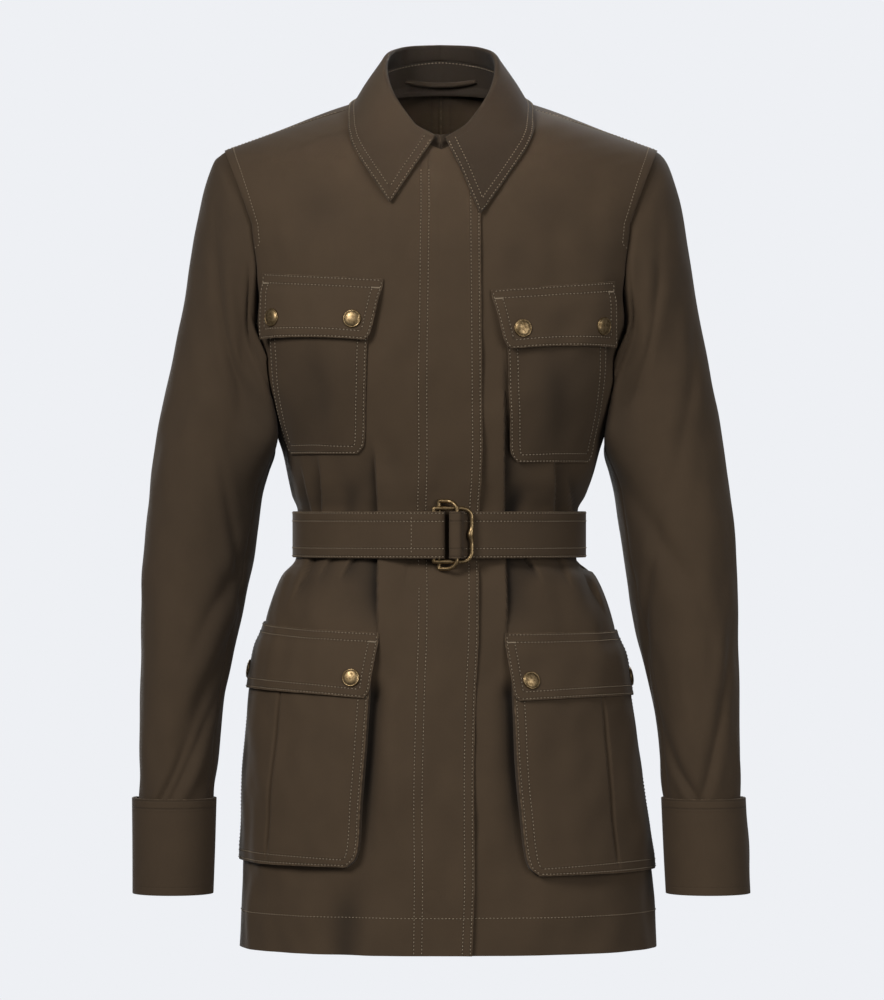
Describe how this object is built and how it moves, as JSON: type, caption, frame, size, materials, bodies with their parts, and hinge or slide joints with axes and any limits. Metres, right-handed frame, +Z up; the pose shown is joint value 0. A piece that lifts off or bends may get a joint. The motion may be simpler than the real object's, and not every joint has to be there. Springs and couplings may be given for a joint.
{
  "type": "belted field jacket",
  "caption": "Belted field jacket with a shirt collar, flapped chest and hip pockets, snapped cuffs and a ring-buckled belt, in its hollow worn shape.",
  "frame": {"origin": "midway between the two shoulder points, where the wearer's shoulders carry the jacket", "axes": "+Z up along the wearer's height, -Y the jacket's front, +X the wearer's left"},
  "size_m": [0.5325, 0.2528, 0.7782],
  "materials": {
    "olive_cotton": "matt cotton twill",
    "aged_brass": "satin, slightly aged"
  },
  "bodies": {
    "root": {"front_right": "olive_cotton", "back_right": "olive_cotton", "top_sleeve_right": "olive_cotton", "under_sleeve_right": "olive_cotton", "cuff_right": "olive_cotton", "chest_pocket_right": "olive_cotton", "chest_flap_right": "olive_cotton", "hip_pocket_right": "olive_cotton", "hip_flap_right": "olive_cotton", "front_left": "olive_cotton", "back_left": "olive_cotton", "top_sleeve_left": "olive_cotton", "under_sleeve_left": "olive_cotton", "cuff_left": "olive_cotton", "chest_pocket_left": "olive_cotton", "chest_flap_left": "olive_cotton", "hip_pocket_left": "olive_cotton", "hip_flap_left": "olive_cotton", "collar_stand": "olive_cotton", "collar_leaf": "olive_cotton", "hanger_loop": "olive_cotton", "belt": "olive_cotton", "ring_small": "aged_brass", "ring_large": "aged_brass", "cuff_snap_right": "aged_brass", "chest_snap_inner_right": "aged_brass", "chest_snap_outer_right": "aged_brass", "hip_snap_inner_right": "aged_brass", "hip_snap_outer_right": "aged_brass", "cuff_snap_left": "aged_brass", "chest_snap_inner_left": "aged_brass", "chest_snap_outer_left": "aged_brass", "hip_snap_inner_left": "aged_brass", "hip_snap_outer_left": "aged_brass"}
  },
  "joints": []
}
